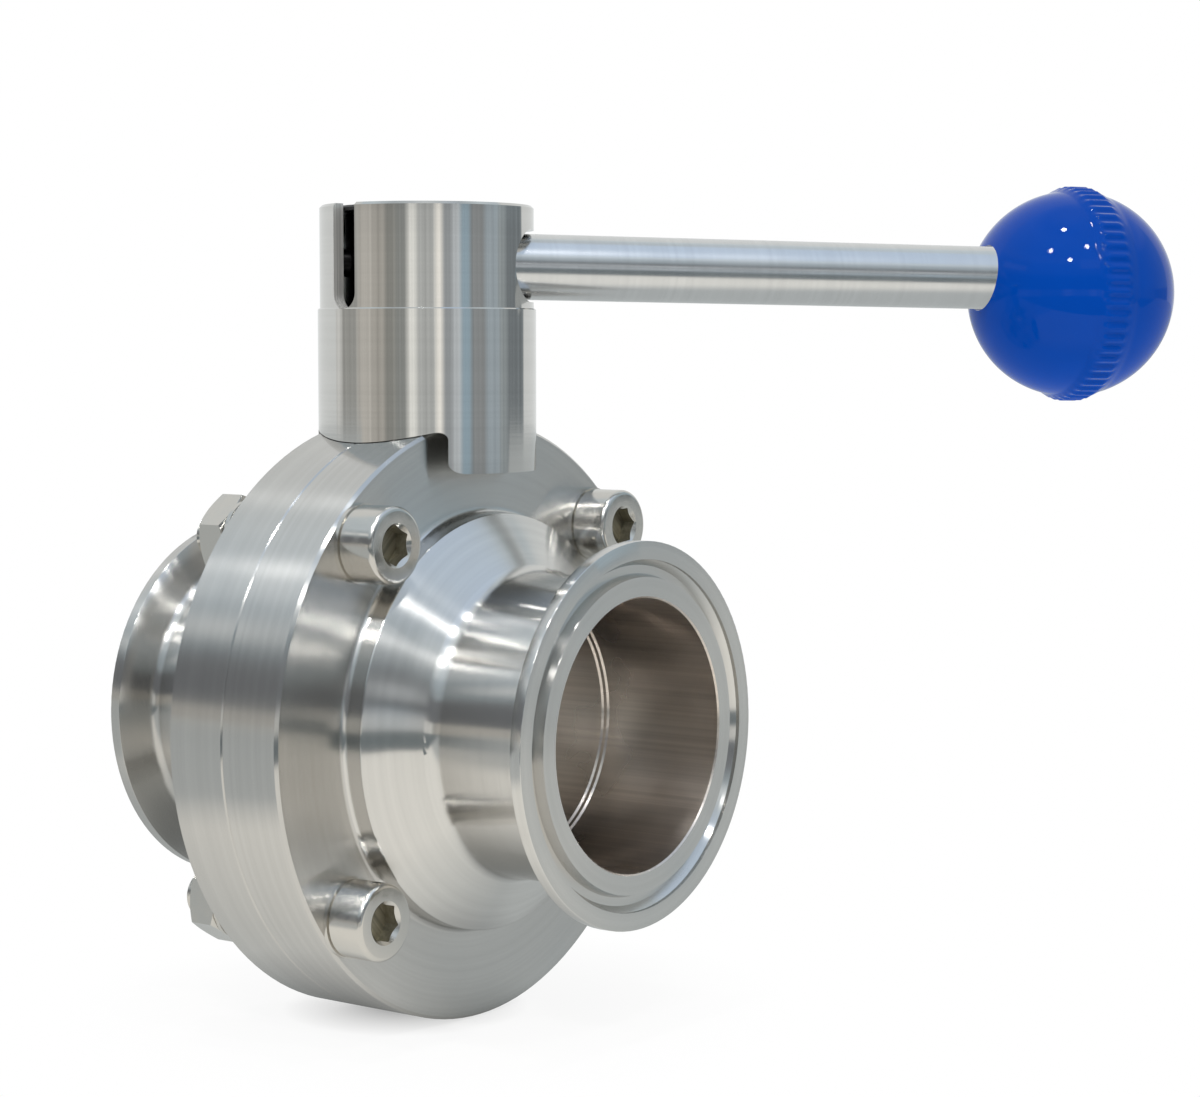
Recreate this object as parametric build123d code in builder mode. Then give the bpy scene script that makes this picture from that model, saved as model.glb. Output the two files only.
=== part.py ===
from build123d import *
from math import atan2, cos, degrees, radians, sin, sqrt, tan
import os

os.makedirs("parts", exist_ok=True)

# Sanitary butterfly valve, DN38 tri-clamp ends, pull-handle lever.
# Millimetres. X runs along the flow towards the front ferrule, Z runs up the stem.
# The origin is where the flow axis meets the stem axis.
# Polar directions count from +X, counter-clockwise seen from above.

# Body halves
half_length = 35.7
bore_radius = 17.9
inner_step_x = 17.5
inner_step_width = 1.0
inner_step_radius = 17.65
inner_radius = 17.4
flange_radius = 40.3
flange_thickness = 9.35
flange_chamfer = 0.4
seam_chamfer = 0.2
hub_step = 12.3
hub_radius = flange_radius - hub_step
hub_end_x = 12.3
hub_root_fillet = 0.9
hub_shoulder_fillet = 0.3
neck_radius = 20.3
neck_start_x = 17.7
neck_fillet = 2.6

# Ferrule to the 50.5 tri-clamp pattern
ferrule_radius = 25.25
ferrule_rim_width = 1.6
ferrule_cone_angle = 20.0
ferrule_neck_fillet = 1.5
ferrule_edge_fillet = 0.3
groove_outer_radius = 22.9
groove_floor_outer_radius = 22.1
groove_floor_inner_radius = 21.0
groove_inner_radius = 20.6
groove_depth = 1.4

# Seat ring
seat_lip_radius = 17.3
seat_half_width = 6.7
seat_shoulder_radius = 19.6
seat_root_radius = 24.0
seat_root_half_width = 8.0
seat_edge_fillet = 0.4
seat_clearance = 0.05
seat_stem_hole_radius = 5.3

# Disc and stems, the disc turned from the flow by its rest angle
disc_radius = 17.0
disc_rim_thickness = 3.0
disc_centre_thickness = 7.0
stem_radius = 5.0
stem_square = 7.4
stem_square_length = 5.4
stem_thread_radius = 2.0
stem_thread_depth = 9.0
trunnion_depth = 5.4
stem_end_chamfer = 0.4

# Stem bushes and seal
bush_radius = 7.5
bush_collar_radius = 8.3
bush_seat_wall = 2.0
bush_nose_length = 5.0
bush_collar_length = 3.0
bush_bottom_z = seat_root_radius + bush_seat_wall
bush_collar_bottom_z = bush_bottom_z + bush_nose_length
bush_collar_top_z = bush_collar_bottom_z + bush_collar_length
bush_running_clearance = 0.05
bush_seating_clearance = 0.03
lower_bush_seat_gap = 0.6
lower_bush_length = 8.4
lower_bush_top_z = -seat_root_radius - lower_bush_seat_gap
lower_bush_bottom_z = lower_bush_top_z - lower_bush_length
seal_groove_radius = 6.72
seal_groove_half_height = 0.9
seal_height = 2.6
seal_z = bush_bottom_z + seal_height
seal_wire_radius = 0.7
seal_wire_centre_radius = 6.0

# Flange screws
screw_edge_distance = 5.3
screw_circle_radius = flange_radius - screw_edge_distance
screw_angles = (46.0, 134.0, 220.0, 320.0)
screw_shank_radius = 3.0
screw_hole_radius = 3.25
screw_head_radius = 5.0
screw_head_height = 5.4
screw_head_fillet = 0.6
screw_socket_across_flats = 4.6
screw_socket_mouth_radius = 2.85
screw_socket_mouth_depth = 0.45
screw_socket_depth = 3.2
screw_end_chamfer = 0.6
washer_radius = 5.2
washer_hole_radius = 3.2
washer_thickness = 0.6
nut_across_flats = 10.0
nut_height = 4.4
nut_chamfer_angle = 30.0
screw_thread_projection = 3.0

# Locating dowels
dowel_radius = 1.5
dowel_circle_radius = screw_circle_radius
dowel_half_length = 5.0
dowel_end_clearance = 0.3
dowel_chamfer = 0.3
dowel_seating_clearance = 0.02

# Handle housing
housing_radius = 14.75
housing_upper_radius = 14.45
housing_bore_radius = 12.8
housing_tab_reach = 6.8
housing_floor_height = 2.9
housing_lower_length = 12.1
housing_upper_length = 13.8
housing_tab_bottom_z = flange_radius - housing_tab_reach
housing_floor_z = flange_radius + housing_floor_height
housing_ledge_z = housing_floor_z + housing_lower_length
housing_top_z = housing_ledge_z + housing_upper_length
housing_top_chamfer = 0.35
housing_ledge_chamfer = 0.15
housing_floor_fillet = 0.5
saddle_margin = 2.05
saddle_half_width = flange_thickness + saddle_margin
saddle_clearance = 0.08
saddle_corner_radius = 1.3
tab_corner_radius = 1.5
neck_fit_clearance = 0.05
slot_width = 4.4
slot_ledge_cut = 0.2
slot_bottom_z = housing_ledge_z - slot_ledge_cut
slot_angle = -99.6
keyway_depth = 0.9
window_height = 5.7
window_centre_z = housing_ledge_z + window_height
window_half_height = 4.85
window_start_angle = 24.0
window_end_angle = window_start_angle + 90
keyway_angles = (window_start_angle + 180, window_end_angle + 180)

# Housing clip and thrust washer
clip_groove_radius = 6.8
clip_outer_radius = 9.2
clip_thickness = 0.9
clip_gap_angle = 50.0
thrust_inner_radius = 5.3
thrust_outer_radius = 7.4
thrust_thickness = 0.8
bush_head_length = 1.4
stem_shoulder_height = 0.4
bush_top_z = housing_floor_z + bush_head_length
stem_shoulder_z = bush_top_z + stem_shoulder_height
stem_square_top_z = stem_shoulder_z + stem_square_length

# Rotor head
rotor_radius = 12.72
rotor_sink = 0.9
rotor_top_z = housing_top_z - rotor_sink
rotor_chamfer = 0.5
rotor_waist_radius = 11.0
rotor_waist_drop = 0.7
rotor_waist_z = housing_ledge_z - rotor_waist_drop
rotor_flat_start = 8.0
rotor_square_clearance = 0.03
rotor_web_thickness = 2.0
rotor_web_bottom_z = stem_square_top_z
rotor_web_top_z = rotor_web_bottom_z + rotor_web_thickness
rotor_access_radius = 3.7
cross_bore_radius = 4.6
cross_bore_end = -9.5
tail_hole_radius = 1.95

# Head screw and plug
head_screw_shank_radius = 1.95
head_screw_head_radius = 3.5
head_screw_head_height = 3.8
head_screw_socket = 3.0
head_screw_socket_depth = 2.0
head_screw_reach = 8.0
head_screw_bottom_z = stem_square_top_z - head_screw_reach
plug_head_radius = 12.6
plug_head_thickness = 0.7
plug_shank_depth = 1.3
plug_fit_clearance = 0.02

# Lever, running along its own axis from the stem axis
lever_angle = 54.0
lever_droop = 0.8
lever_lift = 0.25
lever_start_z = window_centre_z + lever_lift
disc_rest_angle = lever_angle - window_start_angle
ball_centre = 96.4
rod_radius = 4.5
rod_start = 9.3
rod_ball_distance = 11.0
rod_end = ball_centre - rod_ball_distance
rod_chamfer = 0.4
rod_stud_radius = 4.0
rod_stud_reach = 0.4
rod_stud_end = ball_centre + rod_stud_reach
rod_socket_end = 17.3
plunger_tip = -12.6
plunger_tail_radius = 1.9
plunger_tip_chamfer = 0.3
collar_start = -9.0
collar_end = -6.5
collar_radius = 4.5
shank_radius = 2.5
shank_end = 17.0
retainer_start = 5.0
retainer_end = 8.0
retainer_hole_radius = 2.56
retainer_seating_clearance = 0.02
spring_wire_radius = 0.45
spring_mean_radius = 3.4
spring_turns = 5
spring_end_clearance = 0.1

# Ball knob
ball_radius = 14.9
ball_drop = 2.05
belt_radius = 15.5
belt_half_width = 2.4
belt_edge_width = 1.0
belt_tooth_count = 60
belt_tooth_depth = 0.35
ball_socket_radius = 4.8
insert_radius = 6.0
insert_gap = 0.1
insert_reach = 2.4
insert_start = rod_end + insert_gap
insert_end = ball_centre + insert_reach
insert_flange_radius = 7.0
insert_flange_thickness = 1.5
insert_seating_clearance = 0.02

flow_plane = Plane.XZ
seam_plane = Plane.YZ


def direction(angle):
    return Vector(cos(radians(angle)), sin(radians(angle)), 0)


def bolt_points():
    return [
        (screw_circle_radius * cos(radians(a)), screw_circle_radius * sin(radians(a)))
        for a in screw_angles
    ]


def across_x(x, normal=1):
    return Plane(origin=(x, 0, 0), x_dir=(0, 1, 0), z_dir=(normal, 0, 0))


def level(z):
    return Plane.XY.offset(z)


# Lever directions: along the lever, across it, and the plane square to it at a distance
droop = radians(lever_droop)
lever_heading = direction(lever_angle)
lever_along = Vector(
    lever_heading.X * cos(droop), lever_heading.Y * cos(droop), -sin(droop)
)
lever_across = Vector(-lever_heading.Y, lever_heading.X, 0)
lever_origin = Vector(0, 0, lever_start_z)


def lever_plane(distance):
    return Plane(
        origin=lever_origin + lever_along * distance,
        x_dir=lever_across,
        z_dir=lever_along,
    )


# Side plane of the lever: its x runs along the lever, its y runs up
lever_side = Plane(origin=lever_origin, x_dir=lever_along, z_dir=lever_across * -1)
lever_axis = Axis(lever_origin, lever_along)


def radial_plane(angle, z=0.0):
    tangent = Vector(-sin(radians(angle)), cos(radians(angle)), 0)
    return Plane(origin=(0, 0, z), x_dir=tangent, z_dir=direction(angle))


def round_corner(section, x, y, radius):
    fillet(section.vertices().sort_by_distance((x, y))[0], radius)


def bevel_corner(section, x, y, length):
    chamfer(section.vertices().sort_by_distance((x, y))[0], length)


cone_foot_x = (
    half_length
    - ferrule_rim_width
    - (ferrule_radius - neck_radius) * tan(radians(ferrule_cone_angle))
)
groove_floor_x = half_length - groove_depth
pocket_half_width = seat_half_width + seat_clearance
pocket_shoulder_radius = seat_shoulder_radius - seat_clearance
pocket_root_half_width = seat_root_half_width + seat_clearance
pocket_root_radius = seat_root_radius + seat_clearance
bush_bore_radius = bush_radius + bush_seating_clearance
collar_bore_radius = bush_collar_radius + bush_seating_clearance

# Front body half: flange, hub, neck and clamp ferrule turned in one piece
with BuildPart() as front_body_half:
    with BuildSketch(flow_plane) as front_section:
        with BuildLine():
            Polyline(
                (0, pocket_root_radius),
                (0, flange_radius),
                (flange_thickness, flange_radius),
                (flange_thickness, hub_radius),
                (hub_end_x, hub_radius),
                (neck_start_x, neck_radius),
                (cone_foot_x, neck_radius),
                (half_length - ferrule_rim_width, ferrule_radius),
                (half_length, ferrule_radius),
                (half_length, groove_outer_radius),
                (half_length - 0.5, groove_outer_radius),
                (groove_floor_x, groove_floor_outer_radius),
                (groove_floor_x, groove_floor_inner_radius),
                (half_length, groove_inner_radius),
                (half_length, bore_radius),
                (inner_step_x, bore_radius),
                (inner_step_x - 0.25, inner_step_radius),
                (inner_step_x - inner_step_width + 0.25, inner_step_radius),
                (inner_step_x - inner_step_width, inner_radius),
                (pocket_half_width, inner_radius),
                (pocket_half_width, pocket_shoulder_radius),
                (pocket_root_half_width, pocket_shoulder_radius),
                (pocket_root_half_width, pocket_root_radius),
                close=True,
            )
        make_face()
        bevel_corner(front_section, 0, flange_radius, seam_chamfer)
        bevel_corner(front_section, flange_thickness, flange_radius, flange_chamfer)
        round_corner(front_section, flange_thickness, hub_radius, hub_root_fillet)
        round_corner(front_section, hub_end_x, hub_radius, hub_shoulder_fillet)
        round_corner(front_section, neck_start_x, neck_radius, neck_fillet)
        round_corner(front_section, cone_foot_x, neck_radius, ferrule_neck_fillet)
        round_corner(
            front_section, half_length - ferrule_rim_width, ferrule_radius, ferrule_edge_fillet
        )
        round_corner(front_section, half_length, ferrule_radius, ferrule_edge_fillet)
        bevel_corner(front_section, half_length, bore_radius, 0.2)
    revolve(axis=Axis.X)
    # Half bores of the split line for the stem and its bushes
    with BuildSketch(level(seat_root_radius - 2)):
        Circle(seat_stem_hole_radius)
    extrude(amount=8, mode=Mode.SUBTRACT)
    with BuildSketch(level(bush_bottom_z)):
        Circle(bush_bore_radius)
    extrude(amount=20, mode=Mode.SUBTRACT)
    with BuildSketch(level(bush_collar_bottom_z)):
        Circle(collar_bore_radius)
    extrude(amount=bush_collar_top_z - bush_collar_bottom_z, mode=Mode.SUBTRACT)
    with BuildSketch(level(lower_bush_top_z - 2)):
        Circle(seat_stem_hole_radius)
    extrude(amount=6, mode=Mode.SUBTRACT)
    with BuildSketch(level(lower_bush_bottom_z)):
        Circle(bush_bore_radius)
    extrude(amount=lower_bush_top_z - lower_bush_bottom_z, mode=Mode.SUBTRACT)
    # Screw holes and dowel holes
    with BuildSketch(seam_plane):
        with Locations(*bolt_points()):
            Circle(screw_hole_radius)
    extrude(amount=flange_thickness + 1, mode=Mode.SUBTRACT)
    with BuildSketch(seam_plane):
        with Locations((dowel_circle_radius, 0), (-dowel_circle_radius, 0)):
            Circle(dowel_radius + dowel_seating_clearance)
    extrude(amount=dowel_half_length + dowel_end_clearance, mode=Mode.SUBTRACT)

# Rear body half, the mirror image across the seam
with BuildPart() as rear_body_half:
    mirror(front_body_half.part, about=seam_plane)

# Seat ring: lip at the bore, wider root held in the undercut of the two halves
with BuildPart() as seat_ring:
    with BuildSketch(flow_plane) as seat_section:
        with BuildLine():
            Polyline(
                (-seat_half_width, seat_lip_radius),
                (-seat_half_width, seat_shoulder_radius),
                (-seat_root_half_width, seat_shoulder_radius),
                (-seat_root_half_width, seat_root_radius),
                (seat_root_half_width, seat_root_radius),
                (seat_root_half_width, seat_shoulder_radius),
                (seat_half_width, seat_shoulder_radius),
                (seat_half_width, seat_lip_radius),
                close=True,
            )
        make_face()
        for side in (-1, 1):
            round_corner(
                seat_section, side * seat_half_width, seat_lip_radius, seat_edge_fillet
            )
    revolve(axis=Axis.X)
    with BuildSketch(level(-seat_root_radius - 1)):
        Circle(seat_stem_hole_radius)
    extrude(amount=2 * seat_root_radius + 2, mode=Mode.SUBTRACT)

# Disc: lens with a crowned rim, round stems above and below, square drive on top
disc_normal = direction(90 + disc_rest_angle)
disc_side = Plane(origin=(0, 0, 0), x_dir=disc_normal, z_dir=disc_normal.cross(Vector(0, 0, 1)))
trunnion_end_z = lower_bush_top_z - trunnion_depth
rim_half = disc_rim_thickness / 2
rim_shoulder_radius = disc_radius - 0.4
lens_edge_radius = disc_radius - 1.2
with BuildPart() as disc:
    with BuildSketch(disc_side):
        with BuildLine():
            TangentArc(
                (-disc_centre_thickness / 2, 0), (-rim_half, lens_edge_radius), tangent=(0, 1)
            )
            Line((-rim_half, lens_edge_radius), (-rim_half, rim_shoulder_radius))
            ThreePointArc(
                (-rim_half, rim_shoulder_radius), (0, disc_radius), (rim_half, rim_shoulder_radius)
            )
            Line((rim_half, rim_shoulder_radius), (rim_half, lens_edge_radius))
            TangentArc(
                (disc_centre_thickness / 2, 0), (rim_half, lens_edge_radius), tangent=(0, 1)
            )
            Line((disc_centre_thickness / 2, 0), (-disc_centre_thickness / 2, 0))
        make_face()
    revolve(axis=Axis((0, 0, 0), disc_normal))
    with BuildSketch(level(trunnion_end_z)):
        Circle(stem_radius)
    extrude(amount=stem_shoulder_z - trunnion_end_z)
    chamfer(disc.edges().sort_by(Axis.Z)[0], stem_end_chamfer)
    with BuildSketch(Plane(origin=(0, 0, stem_shoulder_z), x_dir=lever_heading, z_dir=(0, 0, 1))):
        Circle(stem_radius)
        Rectangle(stem_square, stem_square, mode=Mode.INTERSECT)
    extrude(amount=stem_square_top_z - stem_shoulder_z)
    with BuildSketch(level(stem_square_top_z)):
        Circle(stem_thread_radius)
    extrude(amount=-stem_thread_depth, mode=Mode.SUBTRACT)

# Upper stem bush with a collar held in the split line, an inner seal groove and a clip groove
bush_hole_radius = stem_radius + bush_running_clearance
clip_top_z = housing_floor_z + clip_thickness
with BuildPart() as upper_stem_bush:
    with BuildSketch(flow_plane):
        with BuildLine():
            Polyline(
                (bush_hole_radius, bush_bottom_z),
                (bush_radius, bush_bottom_z),
                (bush_radius, bush_collar_bottom_z),
                (bush_collar_radius, bush_collar_bottom_z),
                (bush_collar_radius, bush_collar_top_z),
                (bush_radius, bush_collar_top_z),
                (bush_radius, housing_floor_z),
                (clip_groove_radius, housing_floor_z),
                (clip_groove_radius, clip_top_z),
                (bush_radius, clip_top_z),
                (bush_radius, bush_top_z),
                (bush_hole_radius, bush_top_z),
                (bush_hole_radius, seal_z + seal_groove_half_height),
                (seal_groove_radius, seal_z + seal_groove_half_height),
                (seal_groove_radius, seal_z - seal_groove_half_height),
                (bush_hole_radius, seal_z - seal_groove_half_height),
                close=True,
            )
        make_face()
    revolve(axis=Axis.Z)

with BuildPart() as stem_seal:
    with BuildSketch(flow_plane):
        with Locations((seal_wire_centre_radius, seal_z)):
            Circle(seal_wire_radius)
    revolve(axis=Axis.Z)

# Lower stem bush, closed below the trunnion
with BuildPart() as lower_stem_bush:
    with BuildSketch(level(lower_bush_bottom_z)):
        Circle(bush_radius)
    extrude(amount=lower_bush_top_z - lower_bush_bottom_z)
    with BuildSketch(level(trunnion_end_z)):
        Circle(bush_hole_radius)
    extrude(amount=lower_bush_top_z - trunnion_end_z, mode=Mode.SUBTRACT)

# Flange screws along X, heads at the front
head_seat_x = flange_thickness + washer_thickness
nut_seat_x = -flange_thickness - washer_thickness
screw_end_x = nut_seat_x - nut_height - screw_thread_projection
socket_mouth_x = head_seat_x + screw_head_height - screw_socket_mouth_depth
with BuildPart() as body_screws:
    for y, z in bolt_points():
        with BuildSketch(Plane(origin=(0, y, z), x_dir=(1, 0, 0), z_dir=(0, -1, 0))) as screw_section:
            with BuildLine():
                Polyline(
                    (screw_end_x, 0),
                    (screw_end_x, screw_shank_radius),
                    (head_seat_x, screw_shank_radius),
                    (head_seat_x, screw_head_radius),
                    (head_seat_x + screw_head_height, screw_head_radius),
                    (head_seat_x + screw_head_height, screw_socket_mouth_radius),
                    (socket_mouth_x, screw_socket_across_flats / 2),
                    (socket_mouth_x, 0),
                    close=True,
                )
            make_face()
            bevel_corner(screw_section, screw_end_x, screw_shank_radius, screw_end_chamfer)
            round_corner(
                screw_section,
                head_seat_x + screw_head_height,
                screw_head_radius,
                screw_head_fillet,
            )
        revolve(axis=Axis((0, y, z), (1, 0, 0)))
    with BuildSketch(across_x(head_seat_x + screw_head_height)):
        with Locations(*bolt_points()):
            RegularPolygon(screw_socket_across_flats / 2, 6, major_radius=False)
    extrude(amount=-screw_socket_depth, mode=Mode.SUBTRACT)

with BuildPart() as screw_washers:
    with BuildSketch(across_x(flange_thickness)):
        with Locations(*bolt_points()):
            Circle(washer_radius)
            Circle(washer_hole_radius, mode=Mode.SUBTRACT)
    extrude(amount=washer_thickness)

with BuildPart() as nut_washers:
    with BuildSketch(across_x(nut_seat_x)):
        with Locations(*bolt_points()):
            Circle(washer_radius)
            Circle(washer_hole_radius, mode=Mode.SUBTRACT)
    extrude(amount=washer_thickness)

# One nut at the origin along X, chamfered at both ends, then placed on the four screws
nut_corner_radius = nut_across_flats / sqrt(3)
nut_cone_radius = nut_across_flats / 2 - 0.1
nut_cone_depth = (nut_corner_radius - nut_cone_radius) * tan(radians(nut_chamfer_angle))
with BuildPart() as one_nut:
    with BuildSketch(across_x(0)):
        RegularPolygon(nut_across_flats / 2, 6, major_radius=False)
        Circle(screw_shank_radius + 0.02, mode=Mode.SUBTRACT)
    extrude(amount=nut_height)
    with BuildSketch(flow_plane):
        with BuildLine():
            Polyline(
                (0, 0),
                (0, nut_cone_radius),
                (nut_cone_depth, nut_corner_radius),
                (nut_height - nut_cone_depth, nut_corner_radius),
                (nut_height, nut_cone_radius),
                (nut_height, 0),
                close=True,
            )
        make_face()
    revolve(axis=Axis.X, mode=Mode.INTERSECT)

with BuildPart() as body_nuts:
    for turn, (y, z) in zip((12.0, 41.0, 27.0, 3.0), bolt_points()):
        add(one_nut.part.moved(Location((nut_seat_x - nut_height, y, z), (turn, 0, 0))))

# Dowels across the seam
with BuildPart() as locating_dowels:
    with BuildSketch(across_x(-dowel_half_length)):
        with Locations((dowel_circle_radius, 0), (-dowel_circle_radius, 0)):
            Circle(dowel_radius)
    extrude(amount=2 * dowel_half_length)
    chamfer(locating_dowels.edges(), dowel_chamfer)

# Saddle cutter: flange shape with rounded rims, widened by the saddle clearance
with BuildPart() as saddle_cutter:
    with BuildSketch(across_x(-saddle_half_width)):
        Circle(flange_radius + saddle_clearance)
    extrude(amount=2 * saddle_half_width)
    fillet(saddle_cutter.edges(), saddle_corner_radius)

# Window cutter: level obround swept round the housing between the two lever stops
with BuildPart() as window_cutter:
    for angle in (window_start_angle, window_end_angle):
        with BuildSketch(radial_plane(angle, window_centre_z)):
            Circle(window_half_height)
        extrude(amount=housing_radius + 3)
    with BuildSketch(
        Plane(
            origin=(0, 0, window_centre_z),
            x_dir=direction(window_start_angle),
            z_dir=direction(window_start_angle).cross(Vector(0, 0, 1)),
        )
    ):
        with Locations((housing_radius, 0)):
            Rectangle(housing_radius, 2 * window_half_height)
    revolve(axis=Axis.Z, revolution_arc=window_end_angle - window_start_angle)

# Handle housing
with BuildPart() as handle_housing:
    with BuildSketch(flow_plane) as housing_section:
        with BuildLine():
            Polyline(
                (bush_radius + neck_fit_clearance, housing_tab_bottom_z),
                (housing_radius, housing_tab_bottom_z),
                (housing_radius, housing_ledge_z),
                (housing_upper_radius, housing_ledge_z),
                (housing_upper_radius, housing_top_z),
                (housing_bore_radius, housing_top_z),
                (housing_bore_radius, housing_floor_z),
                (bush_radius + neck_fit_clearance, housing_floor_z),
                close=True,
            )
        make_face()
        bevel_corner(housing_section, housing_radius, housing_ledge_z, housing_ledge_chamfer)
        bevel_corner(
            housing_section, housing_upper_radius, housing_top_z, housing_top_chamfer
        )
        round_corner(
            housing_section, housing_bore_radius, housing_floor_z, housing_floor_fillet
        )
    revolve(axis=Axis.Z)
    add(saddle_cutter.part, mode=Mode.SUBTRACT)
    fillet(
        handle_housing.edges()
        .filter_by(Axis.Y)
        .filter_by_position(Axis.Z, housing_tab_bottom_z - 0.01, housing_tab_bottom_z + 0.01),
        tab_corner_radius,
    )
    add(window_cutter.part, mode=Mode.SUBTRACT)
    slot_height = housing_top_z - slot_bottom_z + 2
    slot_round_z = slot_bottom_z + slot_width / 2
    with BuildSketch(radial_plane(slot_angle)):
        with Locations((0, slot_round_z)):
            Circle(slot_width / 2)
        with Locations((0, slot_round_z + slot_height / 2)):
            Rectangle(slot_width, slot_height)
    extrude(amount=housing_radius + 3, mode=Mode.SUBTRACT)
    for angle in keyway_angles:
        with BuildSketch(radial_plane(angle)):
            with Locations((0, slot_round_z)):
                Circle(slot_width / 2)
            with Locations((0, slot_round_z + slot_height / 2)):
                Rectangle(slot_width, slot_height)
        extrude(amount=housing_bore_radius + keyway_depth, mode=Mode.SUBTRACT)

# Open retaining ring in the neck groove
with BuildPart() as housing_clip:
    with BuildSketch(level(housing_floor_z)):
        Circle(clip_outer_radius)
        Circle(clip_groove_radius, mode=Mode.SUBTRACT)
        with Locations((clip_outer_radius, 0)):
            Rectangle(
                2 * clip_outer_radius * (1 - cos(radians(clip_gap_angle))) + 1.0,
                2 * clip_outer_radius * sin(radians(clip_gap_angle / 2)),
                mode=Mode.SUBTRACT,
            )
    extrude(amount=clip_thickness)
    fillet(housing_clip.edges().filter_by(Axis.Z), 0.6)

with BuildPart() as thrust_washer:
    with BuildSketch(level(bush_top_z)):
        Circle(thrust_outer_radius)
        Circle(thrust_inner_radius, mode=Mode.SUBTRACT)
    extrude(amount=thrust_thickness)

# Rotor head with the square socket, the screw seat and the spring chamber
rotor_bottom_z = bush_top_z + thrust_thickness
with BuildPart() as rotor_head:
    with BuildSketch(level(rotor_bottom_z)):
        Circle(rotor_radius)
    extrude(amount=rotor_waist_z - rotor_bottom_z)
    with BuildSketch(level(rotor_waist_z)):
        Circle(rotor_waist_radius)
    extrude(amount=rotor_top_z - rotor_waist_z)
    chamfer(
        rotor_head.edges().filter_by(GeomType.CIRCLE).filter_by(
            lambda edge: edge.radius > rotor_radius - 0.01 or edge.center().Z > rotor_top_z - 0.01
        ),
        rotor_chamfer,
    )
    with BuildSketch(Plane(origin=(0, 0, rotor_bottom_z), x_dir=lever_heading, z_dir=(0, 0, 1))):
        socket_side = stem_square + 2 * rotor_square_clearance
        Rectangle(socket_side, socket_side)
    extrude(amount=rotor_web_bottom_z - rotor_bottom_z, mode=Mode.SUBTRACT)
    with BuildSketch(level(rotor_web_bottom_z)):
        Circle(head_screw_shank_radius + 0.2)
    extrude(amount=rotor_web_top_z - rotor_web_bottom_z, mode=Mode.SUBTRACT)
    with BuildSketch(level(rotor_web_top_z)):
        Circle(rotor_access_radius)
    extrude(amount=rotor_top_z - rotor_web_top_z + 1, mode=Mode.SUBTRACT)
    with BuildSketch(lever_plane(cross_bore_end)):
        Circle(cross_bore_radius)
    extrude(amount=rotor_radius - cross_bore_end, mode=Mode.SUBTRACT)
    with BuildSketch(
        Plane(
            origin=lever_heading * rotor_flat_start + Vector(0, 0, rotor_waist_z),
            x_dir=(0, 0, 1),
            z_dir=lever_heading,
        )
    ):
        with Locations((rotor_radius, 0)):
            Rectangle(2 * rotor_radius, 2 * rotor_radius)
    extrude(amount=rotor_radius, mode=Mode.SUBTRACT)
    with BuildSketch(lever_plane(cross_bore_end)):
        Circle(tail_hole_radius)
    extrude(amount=-rotor_radius, mode=Mode.SUBTRACT)

with BuildPart() as head_screw:
    with BuildSketch(flow_plane) as head_screw_section:
        with BuildLine():
            Polyline(
                (0, head_screw_bottom_z),
                (head_screw_shank_radius, head_screw_bottom_z),
                (head_screw_shank_radius, rotor_web_top_z),
                (head_screw_head_radius, rotor_web_top_z),
                (head_screw_head_radius, rotor_web_top_z + head_screw_head_height),
                (0, rotor_web_top_z + head_screw_head_height),
                close=True,
            )
        make_face()
        bevel_corner(head_screw_section, head_screw_shank_radius, head_screw_bottom_z, 0.3)
        round_corner(
            head_screw_section,
            head_screw_head_radius,
            rotor_web_top_z + head_screw_head_height,
            0.3,
        )
    revolve(axis=Axis.Z)
    with BuildSketch(level(rotor_web_top_z + head_screw_head_height)):
        RegularPolygon(head_screw_socket / 2, 6, major_radius=False)
    extrude(amount=-head_screw_socket_depth, mode=Mode.SUBTRACT)

with BuildPart() as rotor_plug:
    with BuildSketch(level(rotor_top_z)):
        Circle(plug_head_radius)
    extrude(amount=plug_head_thickness)
    chamfer(rotor_plug.edges().group_by(Axis.Z)[-1], 0.3)
    with BuildSketch(level(rotor_top_z)):
        Circle(rotor_access_radius - plug_fit_clearance)
    extrude(amount=-plug_shank_depth)

with BuildPart() as spring_retainer:
    with BuildSketch(lever_plane(retainer_start)):
        Circle(cross_bore_radius - retainer_seating_clearance)
        Circle(retainer_hole_radius, mode=Mode.SUBTRACT)
    extrude(amount=retainer_end - retainer_start)

# Lock plunger: tail pin, spring collar and shank
with BuildPart() as lock_plunger:
    with BuildSketch(lever_side) as plunger_section:
        with BuildLine():
            Polyline(
                (plunger_tip, 0),
                (plunger_tip, plunger_tail_radius),
                (collar_start, plunger_tail_radius),
                (collar_start, collar_radius),
                (collar_end, collar_radius),
                (collar_end, shank_radius),
                (shank_end, shank_radius),
                (shank_end, 0),
                close=True,
            )
        make_face()
        bevel_corner(plunger_section, plunger_tip, plunger_tail_radius, plunger_tip_chamfer)
    revolve(axis=lever_axis)

# Lock spring between the collar and the retainer
spring_length = retainer_start - collar_end - 2 * spring_end_clearance - 2 * spring_wire_radius
spring_begin = collar_end + spring_end_clearance + spring_wire_radius
with BuildPart() as lock_spring:
    with BuildLine() as spring_line:
        Helix(
            pitch=spring_length / spring_turns,
            height=spring_length,
            radius=spring_mean_radius,
            center=lever_origin + lever_along * spring_begin,
            direction=lever_along,
        )
    with BuildSketch(Plane(origin=spring_line.line @ 0, z_dir=spring_line.line % 0)):
        Circle(spring_wire_radius)
    sweep(path=spring_line.line)

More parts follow.
